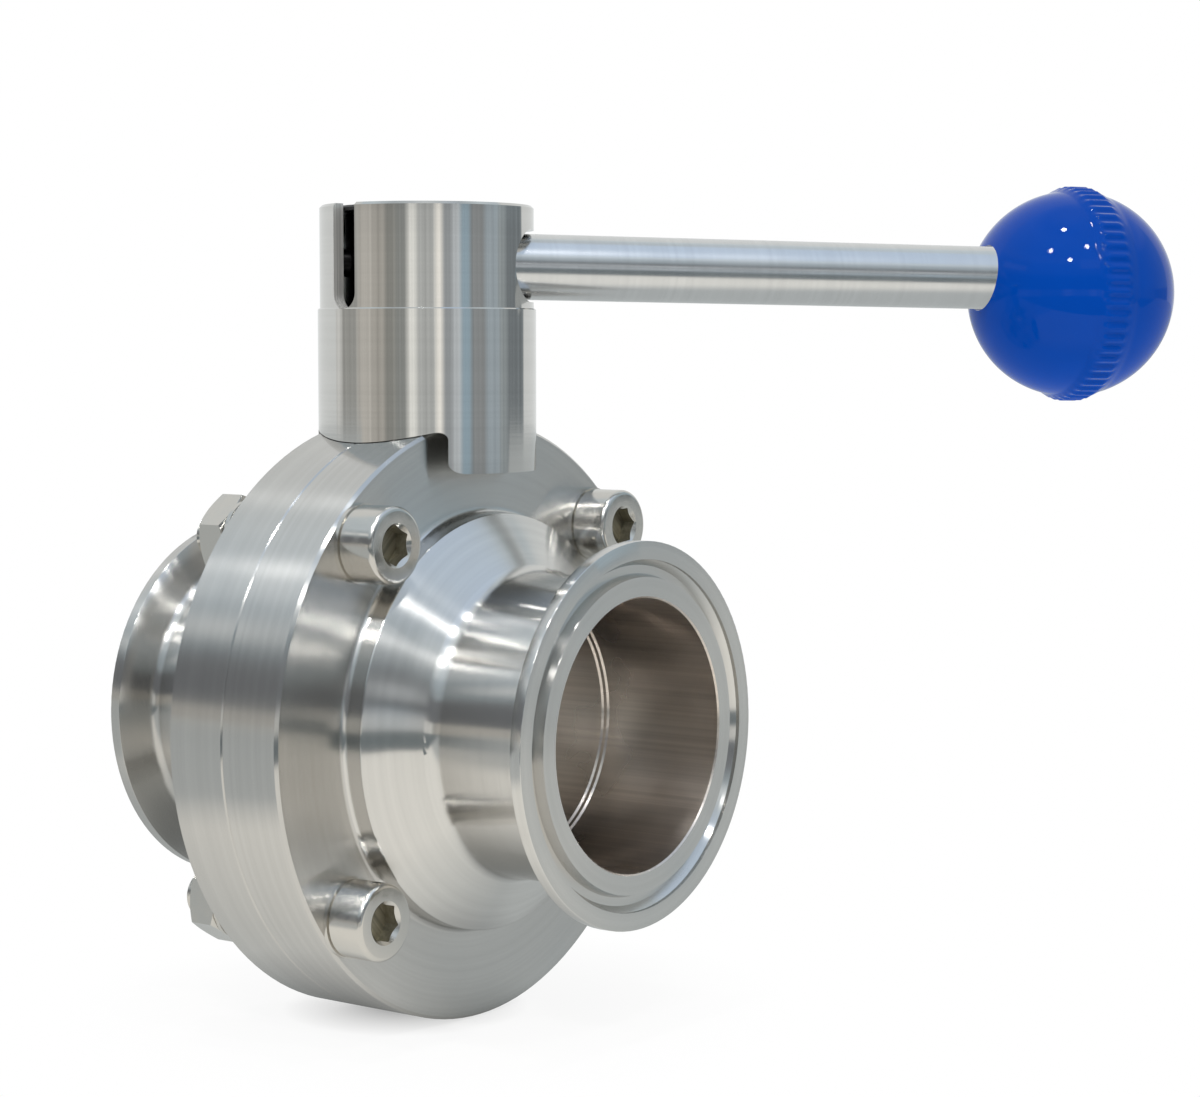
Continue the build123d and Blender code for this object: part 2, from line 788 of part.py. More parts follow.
# Lever rod with a socket for the plunger and a stud for the knob
with BuildPart() as lever_rod:
    with BuildSketch(lever_side) as rod_section:
        with BuildLine():
            Polyline(
                (rod_start, shank_radius + 0.02),
                (rod_start, rod_radius),
                (rod_end, rod_radius),
                (rod_end, rod_stud_radius),
                (rod_stud_end, rod_stud_radius),
                (rod_stud_end, 0),
                (rod_socket_end, 0),
                (rod_socket_end, shank_radius + 0.02),
                close=True,
            )
        make_face()
        bevel_corner(rod_section, rod_start, rod_radius, rod_chamfer)
        bevel_corner(rod_section, rod_stud_end, rod_stud_radius, 0.5)
    revolve(axis=lever_axis)

with BuildPart() as knob_insert:
    with BuildSketch(lever_side):
        with BuildLine():
            Polyline(
                (insert_start, rod_stud_radius + insert_seating_clearance),
                (insert_start, insert_radius),
                (insert_end - insert_flange_thickness, insert_radius),
                (insert_end - insert_flange_thickness, insert_flange_radius),
                (insert_end, insert_flange_radius),
                (insert_end, rod_stud_radius + insert_seating_clearance),
                close=True,
            )
        make_face()
    revolve(axis=lever_axis)

# Ball knob with a ridged belt, its bore for the rod and insert set above its centre
ball_middle = lever_origin + lever_along * ball_centre - Vector(0, 0, ball_drop)


def ball_plane(distance):
    return Plane(
        origin=ball_middle + lever_along * distance, x_dir=lever_across, z_dir=lever_along
    )


with BuildPart() as ball_knob:
    with BuildSketch(Plane(origin=ball_middle, x_dir=lever_along, z_dir=lever_across * -1)):
        with BuildLine():
            Line((-ball_radius, 0), (ball_radius, 0))
            ThreePointArc((ball_radius, 0), (0, ball_radius), (-ball_radius, 0))
        make_face()
    revolve(axis=Axis(ball_middle, lever_along))
    with BuildSketch(ball_plane(-belt_half_width)):
        Circle(belt_radius)
    extrude(amount=2 * belt_half_width)
    fillet(
        ball_knob.edges().filter_by(GeomType.CIRCLE).sort_by(SortBy.RADIUS)[-2:],
        0.3,
    )
    with BuildSketch(ball_plane(-belt_half_width + belt_edge_width / 2)):
        with PolarLocations(belt_radius, belt_tooth_count):
            Rectangle(2 * belt_tooth_depth, 0.7)
    extrude(amount=2 * belt_half_width - belt_edge_width, mode=Mode.SUBTRACT)
    with BuildSketch(lever_plane(ball_centre - ball_radius - 1)):
        Circle(ball_socket_radius)
    extrude(amount=insert_start - ball_centre + ball_radius + 1, mode=Mode.SUBTRACT)
    with BuildSketch(lever_plane(insert_start)):
        Circle(insert_radius + insert_seating_clearance)
    extrude(amount=insert_end - insert_start, mode=Mode.SUBTRACT)
    with BuildSketch(lever_plane(insert_end - insert_flange_thickness)):
        Circle(insert_flange_radius + insert_seating_clearance)
    extrude(amount=insert_flange_thickness + insert_seating_clearance, mode=Mode.SUBTRACT)

pieces = {
    "front_body_half": front_body_half,
    "rear_body_half": rear_body_half,
    "seat_ring": seat_ring,
    "upper_stem_bush": upper_stem_bush,
    "lower_stem_bush": lower_stem_bush,
    "stem_seal": stem_seal,
    "body_screws": body_screws,
    "screw_washers": screw_washers,
    "body_nuts": body_nuts,
    "nut_washers": nut_washers,
    "locating_dowels": locating_dowels,
    "handle_housing": handle_housing,
    "housing_clip": housing_clip,
    "thrust_washer": thrust_washer,
    "disc": disc,
    "rotor_head": rotor_head,
    "head_screw": head_screw,
    "rotor_plug": rotor_plug,
    "spring_retainer": spring_retainer,
    "lock_plunger": lock_plunger,
    "lock_spring": lock_spring,
    "lever_rod": lever_rod,
    "knob_insert": knob_insert,
    "ball_knob": ball_knob,
}

for name, piece in pieces.items():
    piece.part.label = name
    export_step(piece.part, f"parts/{name}.step")
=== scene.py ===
import bpy
import bmesh
import math
from mathutils import Matrix, Vector


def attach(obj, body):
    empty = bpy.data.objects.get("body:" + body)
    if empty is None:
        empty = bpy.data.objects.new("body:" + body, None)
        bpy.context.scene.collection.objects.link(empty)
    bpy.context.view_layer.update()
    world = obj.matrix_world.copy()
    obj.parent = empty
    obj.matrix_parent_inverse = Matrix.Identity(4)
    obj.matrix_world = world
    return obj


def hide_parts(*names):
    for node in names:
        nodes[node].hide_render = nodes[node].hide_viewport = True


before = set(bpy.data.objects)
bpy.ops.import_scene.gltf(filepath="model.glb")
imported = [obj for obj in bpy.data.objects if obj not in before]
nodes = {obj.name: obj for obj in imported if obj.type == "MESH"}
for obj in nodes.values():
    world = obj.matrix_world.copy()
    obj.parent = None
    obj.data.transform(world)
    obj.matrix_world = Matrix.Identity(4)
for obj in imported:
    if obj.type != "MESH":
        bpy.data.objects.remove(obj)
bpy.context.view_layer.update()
mm = 0.001
print("frame loaded:", len(nodes), "nodes")


# colours are written as sRGB hex and turned to linear here
def toLinear(hexColour):
    channels = [int(hexColour[i:i + 2], 16) / 255 for i in (1, 3, 5)]
    return [c / 12.92 if c <= 0.04045 else ((c + 0.055) / 1.055) ** 2.4 for c in channels] + [1.0]


# adds one node, sets its properties and inputs, and links what it is given
def addNode(tree, kind, settings=None, inputs=None):
    node = tree.nodes.new(kind)
    for key, value in (settings or {}).items():
        setattr(node, key, value)
    for key, value in (inputs or {}).items():
        if isinstance(value, bpy.types.NodeSocket):
            tree.links.new(value, node.inputs[key])
        else:
            node.inputs[key].default_value = value
    return node


def newObject(name, data):
    thing = bpy.data.objects.new(name, data)
    bpy.context.scene.collection.objects.link(thing)
    return thing


def newMaterial(name):
    material = bpy.data.materials.new(name)
    material.use_nodes = True
    material.node_tree.nodes.clear()
    return material, material.node_tree


def closeMaterial(tree, shader):
    addNode(tree, "ShaderNodeOutputMaterial", None, {"Surface": shader.outputs[0]})


def setRamp(ramp, stops):
    elements = ramp.color_ramp.elements
    while len(elements) > 1:
        elements.remove(elements[-1])
    elements[0].position, elements[0].color = stops[0][0], toLinear(stops[0][1])
    for position, colour in stops[1:]:
        element = elements.new(position)
        element.color = toLinear(colour)


# ---- lever line, as the solids have it
leverLine = {"angle": 54.0, "droop": 0.8, "startHeight": 61.25}
leverHeading = Vector((math.cos(math.radians(leverLine["angle"])), math.sin(math.radians(leverLine["angle"])), 0))
leverAlong = (leverHeading * math.cos(math.radians(leverLine["droop"]))
              + Vector((0, 0, -math.sin(math.radians(leverLine["droop"])))))
leverOrigin = Vector((0, 0, leverLine["startHeight"])) * mm


# puts local Z along the lever, with the local origin a distance out from the stem
def leverMatrix(distance):
    turn = leverAlong.to_track_quat("Z", "Y").to_matrix().to_4x4()
    return Matrix.Translation(leverOrigin + leverAlong * distance * mm) @ turn


# the middle range of a noise, which the tones and the roughness are stretched over
noiseRange = {"From Min": 0.3, "From Max": 0.7}
turning = {"broadShare": 2.5, "broadDetail": 5.0, "broadRoughness": 0.62, "cloudSize": 14.0,
           "shiniest": 0.85, "dullest": 1.2, "bumpStrength": 0.6}


# Lathe-turned steel. The cutter leaves fine rings round the axis, so highlights
# smear across the rings and the colour runs in faint bands.
def turnedSteel(name, axis, through=(0, 0, 0), colour="#C6C4C0", roughness=0.2,
                smear=0.6, ringSpacing=0.45, ringDepth=0.004, banding=0.06, metallic=1.0, drawn=0.0):
    material, tree = newMaterial(name)
    coords = addNode(tree, "ShaderNodeTexCoord")
    arm = addNode(tree, "ShaderNodeVectorMath", {"operation": "SUBTRACT"},
                  {0: coords.outputs["Object"], 1: tuple(p * mm for p in through)})
    along = addNode(tree, "ShaderNodeVectorMath", {"operation": "DOT_PRODUCT"},
                    {0: arm.outputs[0], 1: axis})
    around = addNode(tree, "ShaderNodeVectorMath", {"operation": "CROSS_PRODUCT"},
                     {0: axis, 1: arm.outputs[0]})
    radius = addNode(tree, "ShaderNodeVectorMath", {"operation": "LENGTH"}, {0: around.outputs[0]})
    ringPlace = addNode(tree, "ShaderNodeCombineXYZ", None,
                        {"X": along.outputs["Value"], "Y": radius.outputs["Value"]})
    if drawn:
        # drawn or milled faces carry straight lines along the axis instead of rings
        squeezed = addNode(tree, "ShaderNodeVectorMath", {"operation": "SCALE"},
                           {0: axis, "Scale": along.outputs["Value"]})
        ringPlace = addNode(tree, "ShaderNodeVectorMath", {"operation": "SUBTRACT"},
                            {0: arm.outputs[0], 1: squeezed.outputs[0]})
    dimensions = "3D" if drawn else "2D"
    rings = addNode(tree, "ShaderNodeTexNoise", {"noise_dimensions": dimensions},
                    {"Vector": ringPlace.outputs[0], "Scale": 1 / (ringSpacing * mm), "Detail": 2.0})
    broadRings = addNode(tree, "ShaderNodeTexNoise", {"noise_dimensions": dimensions},
                         {"Vector": ringPlace.outputs[0], "Detail": turning["broadDetail"],
                          "Scale": 1 / (turning["broadShare"] * ringSpacing * mm),
                          "Roughness": turning["broadRoughness"]})
    clouds = addNode(tree, "ShaderNodeTexNoise", None,
                     {"Vector": coords.outputs["Object"], "Scale": 1 / (turning["cloudSize"] * mm), "Detail": 3.0})
    tone = addNode(tree, "ShaderNodeMapRange", None,
                   {"Value": broadRings.outputs["Fac"], "To Min": 1 - banding, "To Max": 1 + banding, **noiseRange})
    colourNode = addNode(tree, "ShaderNodeVectorMath", {"operation": "SCALE"},
                         {0: tuple(toLinear(colour)[:3]), "Scale": tone.outputs[0]})
    roughnessNode = addNode(tree, "ShaderNodeMapRange", None,
                            {"Value": clouds.outputs["Fac"], "To Min": roughness * turning["shiniest"],
                             "To Max": roughness * turning["dullest"], **noiseRange})
    bump = addNode(tree, "ShaderNodeBump", None,
                   {"Height": rings.outputs["Fac"], "Strength": turning["bumpStrength"], "Distance": ringDepth * mm})
    shader = addNode(tree, "ShaderNodeBsdfPrincipled", None,
                     {"Base Color": colourNode.outputs[0], "Metallic": metallic,
                      "Roughness": roughnessNode.outputs[0], "Normal": bump.outputs[0],
                      "Anisotropic": smear, "Anisotropic Rotation": 0.25,
                      "Tangent": around.outputs[0]})
    closeMaterial(tree, shader)
    return material


# Small stainless fasteners, rolled and tumbled: nearly a mirror, with faint handling marks
def tumbledSteel(name, colour="#CBC8C2", roughness=0.14):
    material, tree = newMaterial(name)
    coords = addNode(tree, "ShaderNodeTexCoord")
    marks = addNode(tree, "ShaderNodeTexNoise", None,
                    {"Vector": coords.outputs["Object"], "Scale": 1 / (1.6 * mm), "Detail": 4.0})
    roughnessNode = addNode(tree, "ShaderNodeMapRange", None,
                            {"Value": marks.outputs["Fac"], "From Min": 0.35, "From Max": 0.65,
                             "To Min": roughness * 0.7, "To Max": roughness * 1.5})
    bump = addNode(tree, "ShaderNodeBump", None,
                   {"Height": marks.outputs["Fac"], "Strength": 0.25, "Distance": 0.02 * mm})
    shader = addNode(tree, "ShaderNodeBsdfPrincipled", None,
                     {"Base Color": toLinear(colour), "Metallic": 1.0,
                      "Roughness": roughnessNode.outputs[0], "Normal": bump.outputs[0]})
    closeMaterial(tree, shader)
    return material


# Moulded plastics and rubber: a faint orange peel in the gloss, hardly any colour change
def mouldedPlastic(name, colour, roughness, peel=0.02, peelSize=1.2, specular=0.5):
    material, tree = newMaterial(name)
    coords = addNode(tree, "ShaderNodeTexCoord")
    skin = addNode(tree, "ShaderNodeTexNoise", None,
                   {"Vector": coords.outputs["Object"], "Scale": 1 / (peelSize * mm), "Detail": 2.0})
    tone = addNode(tree, "ShaderNodeMapRange", None,
                   {"Value": skin.outputs["Fac"], "To Min": 0.97, "To Max": 1.03})
    colourNode = addNode(tree, "ShaderNodeVectorMath", {"operation": "SCALE"},
                         {0: tuple(toLinear(colour)[:3]), "Scale": tone.outputs[0]})
    bump = addNode(tree, "ShaderNodeBump", None,
                   {"Height": skin.outputs["Fac"], "Strength": 0.3, "Distance": peel * mm})
    shader = addNode(tree, "ShaderNodeBsdfPrincipled", None,
                     {"Base Color": colourNode.outputs[0], "Roughness": roughness,
                      "Normal": bump.outputs[0], "Specular IOR Level": specular})
    closeMaterial(tree, shader)
    return material


flowAxis, stemAxis = (1, 0, 0), (0, 0, 1)
finishes = {
    "body": turnedSteel("turned_stainless_body", flowAxis, roughness=0.21, smear=1.0, ringDepth=0.005, banding=0.035),
    "ferrule": turnedSteel("polished_stainless_ferrule", flowAxis, colour="#D2D0CC", roughness=0.19, smear=1.0,
                           ringDepth=0.005, banding=0.03),
    "bore": turnedSteel("drawn_stainless_bore", flowAxis, colour="#D6CCC2", roughness=0.29, smear=0.75,
                        ringSpacing=0.3, ringDepth=0.002, banding=0.12, drawn=1.0),
    "slot": turnedSteel("milled_stainless_slot", stemAxis, colour="#D9D8D4", roughness=0.4, smear=0.2,
                        ringSpacing=0.12, banding=0.35, metallic=0.55, drawn=1.0),
    "housing": turnedSteel("turned_stainless_housing", stemAxis, colour="#CBCAC7", roughness=0.07,
                           smear=0.45, ringSpacing=0.5, ringDepth=0.0015, banding=0.03),
    # painted shade: the rotor and the plunger take a near-black steel, so the depth seen through the slot and the
    # window reads dark
    "rotor": turnedSteel("shade_dark_rotor_steel", stemAxis, colour="#2E2D2D", roughness=0.35),
    "rod": turnedSteel("ground_stainless_rod", tuple(leverAlong), through=(0, 0, leverLine["startHeight"]),
                       colour="#D2D2D1", roughness=0.21, smear=0.2, ringSpacing=0.4, ringDepth=0.002, banding=0.03),
    "disc": tumbledSteel("polished_stainless_disc", colour="#CFCDC9", roughness=0.1),
    "fastener": tumbledSteel("tumbled_stainless_fasteners", roughness=0.18),
    "springSteel": tumbledSteel("drawn_spring_steel", colour="#A9A6A0", roughness=0.2),
    "bearing": turnedSteel("turned_stainless_bush", stemAxis, colour="#BDBBB7", roughness=0.28),
    "bronze": turnedSteel("turned_bearing_bronze", stemAxis, colour="#B98A4E", roughness=0.3, smear=0.4),
    "brass": turnedSteel("turned_brass_insert", tuple(leverAlong), through=(0, 0, leverLine["startHeight"]),
                         colour="#D9B365", roughness=0.25, smear=0.4),
    "socket": turnedSteel("forged_socket_steel", flowAxis, colour="#8E8978", roughness=0.4, smear=0.0,
                          banding=0.35, metallic=0.7),
    "rubber": mouldedPlastic("moulded_black_rubber", "#1C1C1D", 0.5, peel=0.03),
    "plug": mouldedPlastic("moulded_black_nylon", "#151515", 0.45, peel=0.04, peelSize=0.6),
    "ball": mouldedPlastic("moulded_blue_phenolic", "#0041A2", 0.035, peel=0.003, peelSize=3.0, specular=0.12),
}
print("finishes ready:", len(finishes))


# smooth shading inside each face, with hard edges where faces meet at an angle
def shade(mesh, angle=32):
    for polygon in mesh.polygons:
        polygon.use_smooth = True
    mesh.set_sharp_from_angle(angle=math.radians(angle))


def addPiece(name, bm, finish, body, replaced, angle=32):
    mesh = bpy.data.meshes.new(name)
    bm.to_mesh(mesh)
    bm.free()
    if "custom_normal" in mesh.attributes:
        mesh.attributes.remove(mesh.attributes["custom_normal"])
    shade(mesh, angle)
    piece = newObject(name, mesh)
    mesh.materials.append(finishes[finish])
    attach(piece, body)
    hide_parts(*replaced)
    return piece


# turns a line of points that starts and ends on the axis into a round body
def spinLine(bm, points, centre, axis, steps):
    line = [bm.verts.new(point) for point in points]
    edges = [bm.edges.new(pair) for pair in zip(line, line[1:])]
    bmesh.ops.spin(bm, geom=line + edges, cent=centre, axis=axis, angle=2 * math.pi, steps=steps, use_merge=True)


def closeSeams(bm):
    bmesh.ops.remove_doubles(bm, verts=bm.verts, dist=0.001 * mm)
    bmesh.ops.recalc_face_normals(bm, faces=bm.faces)


# takes one closed mesh out of another and gives back the rest
def cutAway(bm, drill):
    pair = []
    for bmeshPart in (bm, drill):
        mesh = bpy.data.meshes.new("cutting")
        bmeshPart.to_mesh(mesh)
        bmeshPart.free()
        pair.append(newObject("cutting", mesh))
    cut = pair[0].modifiers.new("cut", "BOOLEAN")
    cut.operation, cut.solver, cut.object = "DIFFERENCE", "EXACT", pair[1]
    rest = bmesh.new()
    rest.from_object(pair[0], bpy.context.evaluated_depsgraph_get())
    for piece in pair:
        bpy.data.meshes.remove(piece.data)
    return rest


# a solid's own shape with its triangles joined, so that its round faces shade smoothly
def smoothCopy(node, finish, body, angle=32):
    bm = bmesh.new()
    bm.from_mesh(nodes[node].data)
    bmesh.ops.remove_doubles(bm, verts=bm.verts, dist=0.0005 * mm)
    bmesh.ops.dissolve_degenerate(bm, edges=bm.edges, dist=0.0002 * mm)
    return addPiece(node + "_finished", bm, finish, body, [node], angle)


turnedPieces = {
    "front_body_half": ("body", "valve_body", "brushed_body"),
    "rear_body_half": ("body", "valve_body", "brushed_body"),
    "handle_housing": ("housing", "valve_body", "housing_steel"),
    "screw_washers": ("fastener", "valve_body", "fastener"),
    "body_nuts": ("fastener", "valve_body", "fastener"),
    "nut_washers": ("fastener", "valve_body", "fastener"),
    "seat_ring": ("rubber", "valve_body", "seat_rubber"),
    "disc": ("disc", "rotor", "polished_disc"),
    "rotor_head": ("rotor", "rotor", "housing_steel"),
    "rotor_plug": ("plug", "rotor", "plug_plastic"),
    # the plunger takes the near-black rotor steel, painted shade for the dark slot it sits in
    "lock_plunger": ("rotor", "lever", "polished_disc"),
    "lever_rod": ("rod", "lever", "lever_steel"),
}
copies = {node: smoothCopy(node, finish, body)
          for node, (finish, body, recordSlot) in turnedPieces.items()}


# the clamp rims have crisp edges, so their rounded corners are drawn in towards the corner points
clampRim = {"radius": 25.25, "face": 35.7, "back": 34.10, "reach": 0.31, "share": 0.22}
for node in ("front_body_half", "rear_body_half"):
    for vertex in copies[node].data.vertices:
        x, radius = abs(vertex.co.x) / mm, math.hypot(vertex.co.y, vertex.co.z) / mm
        for corner in (clampRim["face"], clampRim["back"]):
            if math.hypot(x - corner, radius - clampRim["radius"]) < clampRim["reach"]:
                x = corner + (x - corner) * clampRim["share"]
                lift = (clampRim["radius"] + (radius - clampRim["radius"]) * clampRim["share"]) / radius
                vertex.co = (math.copysign(x * mm, vertex.co.x), vertex.co.y * lift, vertex.co.z * lift)
                break


# gives another finish to the faces that a test picks
def refinish(piece, finish, picks):
    piece.data.materials.append(finishes[finish])
    last = len(piece.data.materials) - 1
    for polygon in piece.data.polygons:
        if picks(polygon.center / mm, polygon.normal):
            polygon.material_index = last


# where the finishes change, in mm, degrees and shares of a normal
zones = {"boreReach": 18.2, "boreFacing": -0.3, "ferruleStart": 9.6, "ferruleRadius": 29.5,
         "slotTurn": -99.6, "slotWidth": 12.0, "slotBottom": 54.9, "slotFacing": 0.6, "slotFlat": 0.95}


# the bore is drawn tube, duller and browner than the turned outside
def inBore(place, normal):
    radius = math.hypot(place.y, place.z)
    facing = place.y * normal.y + place.z * normal.z
    return radius < zones["boreReach"] and facing < zones["boreFacing"] * radius


# the front hub, neck and ferrule are polished brighter than the flange
def onFerrule(place, normal):
    return place.x > zones["ferruleStart"] and math.hypot(place.y, place.z) < zones["ferruleRadius"]


# the slot beside the window is milled, so its walls stay matt
def onSlotWall(place, normal):
    angle, radius = math.atan2(place.y, place.x), math.hypot(place.x, place.y)
    outward = (place.x * normal.x + place.y * normal.y) / radius
    return (abs(math.degrees(angle) - zones["slotTurn"]) < zones["slotWidth"] and place.z > zones["slotBottom"]
            and abs(outward) < zones["slotFacing"] and abs(normal.z) < zones["slotFlat"])


for node in ("front_body_half", "rear_body_half"):
    refinish(copies[node], "ferrule", onFerrule)
    refinish(copies[node], "bore", inBore)
refinish(copies["handle_housing"], "slot", onSlotWall)

# the rest keeps its solid and takes a finish
plainPieces = {
    "upper_stem_bush": "bearing", "lower_stem_bush": "bearing", "stem_seal": "rubber",
    "locating_dowels": "fastener", "housing_clip": "springSteel", "thrust_washer": "bronze",
    "head_screw": "fastener", "spring_retainer": "bronze", "lock_spring": "springSteel",
    "knob_insert": "brass",
}
for node, finish in plainPieces.items():
    nodes[node].data.materials.clear()
    nodes[node].data.materials.append(finishes[finish])
print("steel pieces finished:", len(turnedPieces) + len(plainPieces))

# body screws: a rounded head with a dished mouth and a hexagon socket, and thread rings past the nut
screw = {"circle": 35.0, "angles": (46.0, 134.0, 220.0, 320.0), "radius": 3.0, "headRadius": 5.0,
         "seat": 9.95, "headTop": 15.35, "headRound": 0.65, "mouthRadius": 2.85, "mouthDepth": 0.45,
         "acrossFlats": 4.6, "socketDepth": 2.2, "socketTurns": (8, 31, -14, 22),
         "seatChamfer": 0.25, "roundSteps": 8, "rootShare": (0.44, 0.56),
         "tip": -17.35, "tipChamfer": 0.5, "nutFace": -14.35, "pitch": 1.0, "threadDepth": 0.4, "segments": 72}


def screwProfile():
    points = [(screw["tip"], 0.0), (screw["tip"], screw["radius"] - screw["tipChamfer"]),
              (screw["tip"] + screw["tipChamfer"], screw["radius"])]
    place = screw["tip"] + screw["tipChamfer"]
    while place + screw["pitch"] < screw["nutFace"]:
        points += [(place + share * screw["pitch"], screw["radius"] - screw["threadDepth"])
                   for share in screw["rootShare"]]
        points.append((place + screw["pitch"], screw["radius"]))
        place += screw["pitch"]
    points += [(screw["seat"], screw["radius"]), (screw["seat"], screw["headRadius"] - screw["seatChamfer"]),
               (screw["seat"] + screw["seatChamfer"], screw["headRadius"])]
    for i in range(screw["roundSteps"] + 1):
        turn = math.radians(90 * i / screw["roundSteps"])
        points.append((screw["headTop"] - screw["headRound"] * (1 - math.sin(turn)),
                       screw["headRadius"] - screw["headRound"] * (1 - math.cos(turn))))
    points += [(screw["headTop"], screw["mouthRadius"]),
               (screw["headTop"] - screw["mouthDepth"], screw["acrossFlats"] / 2),
               (screw["headTop"] - screw["mouthDepth"], 0.0)]
    return points


bm = bmesh.new()
drill = bmesh.new()
for angle, socketTurn in zip(screw["angles"], screw["socketTurns"]):
    around = math.radians(angle)
    centre = Vector((0, screw["circle"] * math.cos(around), screw["circle"] * math.sin(around))) * mm
    spinLine(bm, [centre + Vector((x, 0, r)) * mm for x, r in screwProfile()], centre, flowAxis, screw["segments"])
    socket = (Matrix.Translation(centre + Vector(((screw["headTop"] - screw["socketDepth"] + 1) * mm, 0, 0)))
              @ Matrix.Rotation(math.radians(socketTurn), 4, "X") @ Matrix.Rotation(math.radians(90), 4, "Y"))
    bmesh.ops.create_cone(drill, cap_ends=True, segments=6, radius1=screw["acrossFlats"] / math.sqrt(3) * mm,
                          radius2=screw["acrossFlats"] / math.sqrt(3) * mm, depth=2 * mm, matrix=socket)
closeSeams(bm)
screws = addPiece("body_screws_tightened", cutAway(bm, drill), "fastener", "valve_body", ["body_screws"])


# the hexagon sockets are forged and get a darker, browner and duller finish
def inSocket(place, normal):
    if place.x < screw["headTop"] - screw["socketDepth"] - 0.1 or place.x > screw["headTop"] - screw["mouthDepth"]:
        return False
    return any(math.hypot(place.y - screw["circle"] * math.cos(math.radians(angle)),
                          place.z - screw["circle"] * math.sin(math.radians(angle))) < screw["mouthRadius"]
               for angle in screw["angles"])


refinish(screws, "socket", inSocket)
print("screws made")

# ball knob: a polished ball with a belt of small rounded ridges, bored for the rod above its centre
knob = {"centre": 96.4, "drop": 2.05, "radius": 14.9, "beltRadius": 15.18, "beltInner": -2.6, "innerBlend": 0.7,
        "beltOuter": 3.6, "outerBlend": 2.2, "ridgeCount": 56, "ridgeHeight": 0.36, "ridgeHalfLength": 2.1,
        "ridgeEnd": 0.9, "mouthRadius": 4.72, "mouthDepth": 4.5, "steps": 110, "stepsPerRidge": 8}


def softStep(share):
    share = min(max(share, 0.0), 1.0)
    return share * share * (3 - 2 * share)


# the belt stands up sharply on the rod side and sinks gently into the ball on the outer side
def knobRadius(place):
    plain = math.sqrt(max(knob["radius"] ** 2 - place ** 2, 0.0))
    raised = (softStep((place - knob["beltInner"]) / knob["innerBlend"])
              * softStep((knob["beltOuter"] - place) / knob["outerBlend"]))
    return plain + (knob["beltRadius"] - plain) * raised


def knobProfile():
    places = [-knob["radius"] * math.cos(math.pi * i / knob["steps"]) for i in range(knob["steps"] + 1)]
    return [(knobRadius(place), place) for place in places]


# the ridges are a soft wave that dies out towards both sides of the belt
def ridgeLift(place):
    inside = softStep((knob["ridgeHalfLength"] - abs(place.z) / mm) / knob["ridgeEnd"])
    wave = 0.5 + 0.5 * math.cos(knob["ridgeCount"] * math.atan2(place.y, place.x))
    return knob["ridgeHeight"] * mm * wave * inside


bm = bmesh.new()
spinLine(bm, [(r * mm, 0, z * mm) for r, z in knobProfile()], (0, 0, 0), (0, 0, 1),
         knob["ridgeCount"] * knob["stepsPerRidge"])
closeSeams(bm)
for vertex in bm.verts:
    away = Vector((vertex.co.x, vertex.co.y, 0))
    if away.length:
        vertex.co += away.normalized() * ridgeLift(vertex.co)
bmesh.ops.transform(bm, matrix=Matrix.Translation((0, 0, -knob["drop"] * mm)) @ leverMatrix(knob["centre"]),
                    verts=bm.verts)
drill = bmesh.new()
bmesh.ops.create_cone(drill, cap_ends=True, segments=96, radius1=knob["mouthRadius"] * mm,
                      radius2=knob["mouthRadius"] * mm, depth=2 * knob["mouthDepth"] * mm,
                      matrix=leverMatrix(knob["centre"] - knob["radius"]))
bm = cutAway(bm, drill)
ball = addPiece("ball_knob_moulded", bm, "ball", "lever", ["ball_knob"], angle=40)
ball.visible_glossy = False
nodes["knob_insert"].visible_glossy = False
print("ball knob made")

# ---- stage: a white table with a straight front edge, four ceiling lamps and a room
table = {"height": -40.35, "radius": 2600.0, "edgeDistance": 225.0, "edgeFacing": -38.4,
         "fadeStart": 15.0, "fadeEnd": 65.0, "nearWhite": 0.8,
         # painted contact shadow under the flange: its centre, reach and depth
         "paintedShadowCentre": (-2.4, -2.4), "paintedShadowReach": 17.0, "paintedShadowDark": 0.66,
         # painted shadow in the reflections: how far and how deep the mirrored table's glow is turned down near the
         # foot
         "reflectedShadowReach": 27.0, "reflectedShadowDark": 0.97,
         # painted shade: the sides of the mirrored table that are painted dimmer, and the dim colour they take
         "paintedShadeSides": ({"facing": -134.0, "start": 75.0, "end": 115.0}, {"facing": 120.0, "start": -40.0, "end": 0.0}),
         "brightColour": "#FEFDF8", "paintedShadeColour": "#C6CBCC", "thrownLight": 1.5}


